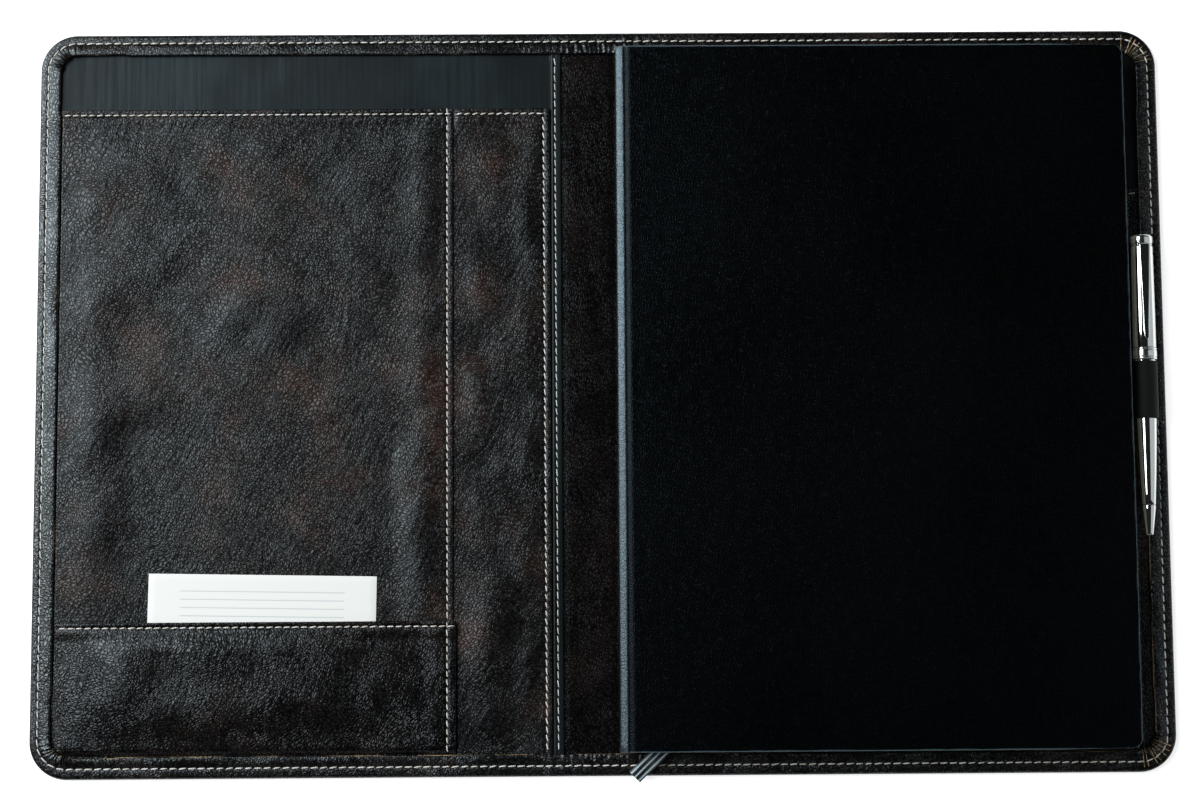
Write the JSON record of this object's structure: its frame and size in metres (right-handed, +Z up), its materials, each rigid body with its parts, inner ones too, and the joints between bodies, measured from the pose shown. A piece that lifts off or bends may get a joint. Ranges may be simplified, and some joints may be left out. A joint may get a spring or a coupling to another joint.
{
  "type": "leather portfolio notebook",
  "caption": "Open leather portfolio cover with pockets and a card, a sleeve holding a hardback notebook with a marker ribbon, and a twist pen in an elastic loop.",
  "frame": {"origin": "middle of the open cover, on the underside that it lies on", "axes": "+X across the open cover from the pocket half to the notebook half, +Y towards the top edge, +Z up out of the inside face"},
  "size_m": [0.515, 0.3432, 0.0217],
  "materials": {
    "cover_leather": "very dark brown waxed full grain leather, creased, with a soft sheen",
    "pocket_leather": "very dark brown waxed leather, finely pebbled and creased",
    "grey_board": "grey binder's board",
    "lining_cloth": "black woven lining with a watered pattern",
    "card_stock": "matt white card",
    "elastic_web": "black woven elastic",
    "book_cover": "black imitation leather over board, fine grain",
    "page_paper": "cream writing paper",
    "band_cloth": "striped headband cloth",
    "ribbon_satin": "black satin ribbon with pale woven stripes",
    "pen_chrome": "polished bright plate",
    "brass": "turned brass",
    "refill_plastic": "translucent white tube"
  },
  "bodies": {
    "back_cover": {"back_leather": "cover_leather", "back_board": "grey_board", "back_lining": "lining_cloth", "spine_lining_back_edge": "pocket_leather", "notebook_sleeve": "pocket_leather", "pen_loop": "elastic_web"},
    "spine": {"spine_leather": "cover_leather", "spine_stiffener": "grey_board", "spine_lining": "pocket_leather"},
    "front_cover": {"front_leather": "cover_leather", "front_board": "grey_board", "front_lining": "lining_cloth", "spine_lining_front_edge": "pocket_leather", "side_pocket": "pocket_leather", "document_pocket": "pocket_leather", "card_pocket": "pocket_leather"},
    "card": {"note_card": "card_stock"},
    "notebook": {"notebook_back_board": "book_cover", "notebook_spine": "book_cover", "page_block": "page_paper", "back_endpaper": "page_paper", "headband": "band_cloth", "tailband": "band_cloth", "marker_ribbon": "ribbon_satin"},
    "notebook_cover": {"notebook_front_board": "book_cover", "front_endpaper": "page_paper"},
    "front_leaves": {"front_pages": "page_paper"},
    "pen": {"pen_crown": "pen_chrome", "pen_clip": "pen_chrome", "pen_upper_barrel": "pen_chrome", "pen_centre_ring": "pen_chrome", "pen_mechanism": "brass"},
    "pen_lower": {"pen_lower_barrel": "pen_chrome", "pen_tip_cone": "pen_chrome"},
    "refill": {"refill_tube": "refill_plastic", "refill_point": "brass"}
  },
  "joints": [
    {"name": "spine_fold", "type": "hinge", "parent": "back_cover", "child": "spine", "pos_m": [0.0065, 0, 0.0053], "axis": [0, 1, 0], "range_deg": [0, 90]},
    {"name": "front_fold", "type": "hinge", "parent": "spine", "child": "front_cover", "pos_m": [-0.0175, 0, 0.0053], "axis": [0, 1, 0], "range_deg": [0, 90]},
    {"name": "card_slide", "type": "slide", "parent": "front_cover", "child": "card", "axis": [0, 1, 0], "range_m": [0, 0.06]},
    {"name": "notebook_slide", "type": "slide", "parent": "back_cover", "child": "notebook", "axis": [0, 1, 0], "range_m": [0, 0.262]},
    {"name": "notebook_cover_turn", "type": "hinge", "parent": "notebook", "child": "notebook_cover", "pos_m": [0.01, 0, 0.0217], "axis": [0, 1, 0], "range_deg": [-175, 0]},
    {"name": "front_leaves_turn", "type": "hinge", "parent": "notebook", "child": "front_leaves", "pos_m": [0.01, 0, 0.0217], "axis": [0, 1, 0], "range_deg": [-172, 0]},
    {"name": "pen_slide", "type": "slide", "parent": "back_cover", "child": "pen", "axis": [0, 1, 0], "range_m": [0, 0.09]},
    {"name": "pen_twist", "type": "hinge", "parent": "pen", "child": "pen_lower", "pos_m": [0.246, 0, 0.0119], "axis": [0, 1, 0], "range_deg": [0, 180]},
    {"name": "refill_advance", "type": "slide", "parent": "pen", "child": "refill", "axis": [0, -1, 0], "range_m": [0, 0.0031]}
  ],
  "couplings": [
    {"joint": "front_leaves_turn", "follows": "notebook_cover_turn", "ratio": 0.975},
    {"joint": "refill_advance", "follows": "pen_twist", "m_per_rad": 0.00095}
  ]
}
